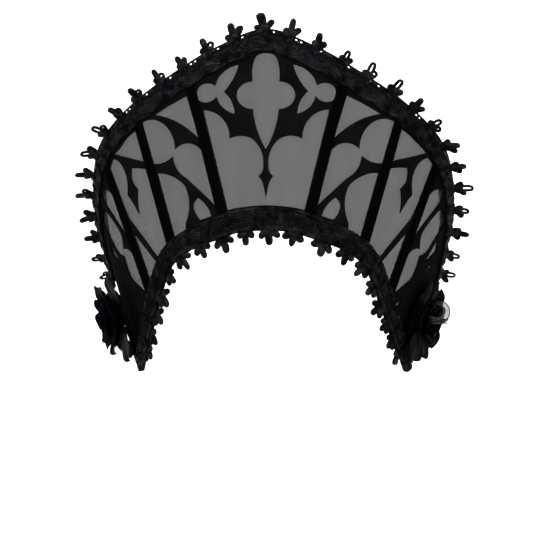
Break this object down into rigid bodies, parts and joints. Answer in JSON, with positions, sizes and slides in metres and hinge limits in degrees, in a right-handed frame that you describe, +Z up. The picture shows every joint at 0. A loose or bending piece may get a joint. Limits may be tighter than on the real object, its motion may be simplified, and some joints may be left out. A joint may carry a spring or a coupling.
{
  "type": "halo headdress",
  "caption": "Tall fan-shaped halo headdress of sheer black net with cut felt tracery, straight ribs, guipure lace edges with picots and a satin rose on each lower end.",
  "frame": {"origin": "middle of the forehead lace's lower edge, where the headdress sits on the top of the forehead", "axes": "+Z up, +Y towards the back of the head, so the wearer faces -Y; +X towards the right seen from the front"},
  "size_m": [0.2736, 0.1258, 0.2512],
  "materials": {
    "net": "sheer stiffened fine net, matte",
    "felt": "thin pressed felt, matte with a faint sheen",
    "velvet": "short-pile velvet, dull and very dark",
    "lace": "corded guipure lace of viscose thread, soft sheen",
    "satin": "blue-black duchess satin, soft gloss on folds"
  },
  "bodies": {
    "root": {"net_panel": "net", "tracery_applique": "felt", "rib_inner_left": "velvet", "rib_inner_right": "velvet", "rib_middle_left": "velvet", "rib_middle_right": "velvet", "rib_outer_left": "velvet", "rib_outer_right": "velvet", "rim_lace": "lace", "forehead_lace": "lace", "end_lace_left": "lace", "end_lace_right": "lace", "rose_petals_left": "satin", "rose_heart_left": "satin", "rose_petals_right": "satin", "rose_heart_right": "satin"}
  },
  "joints": []
}
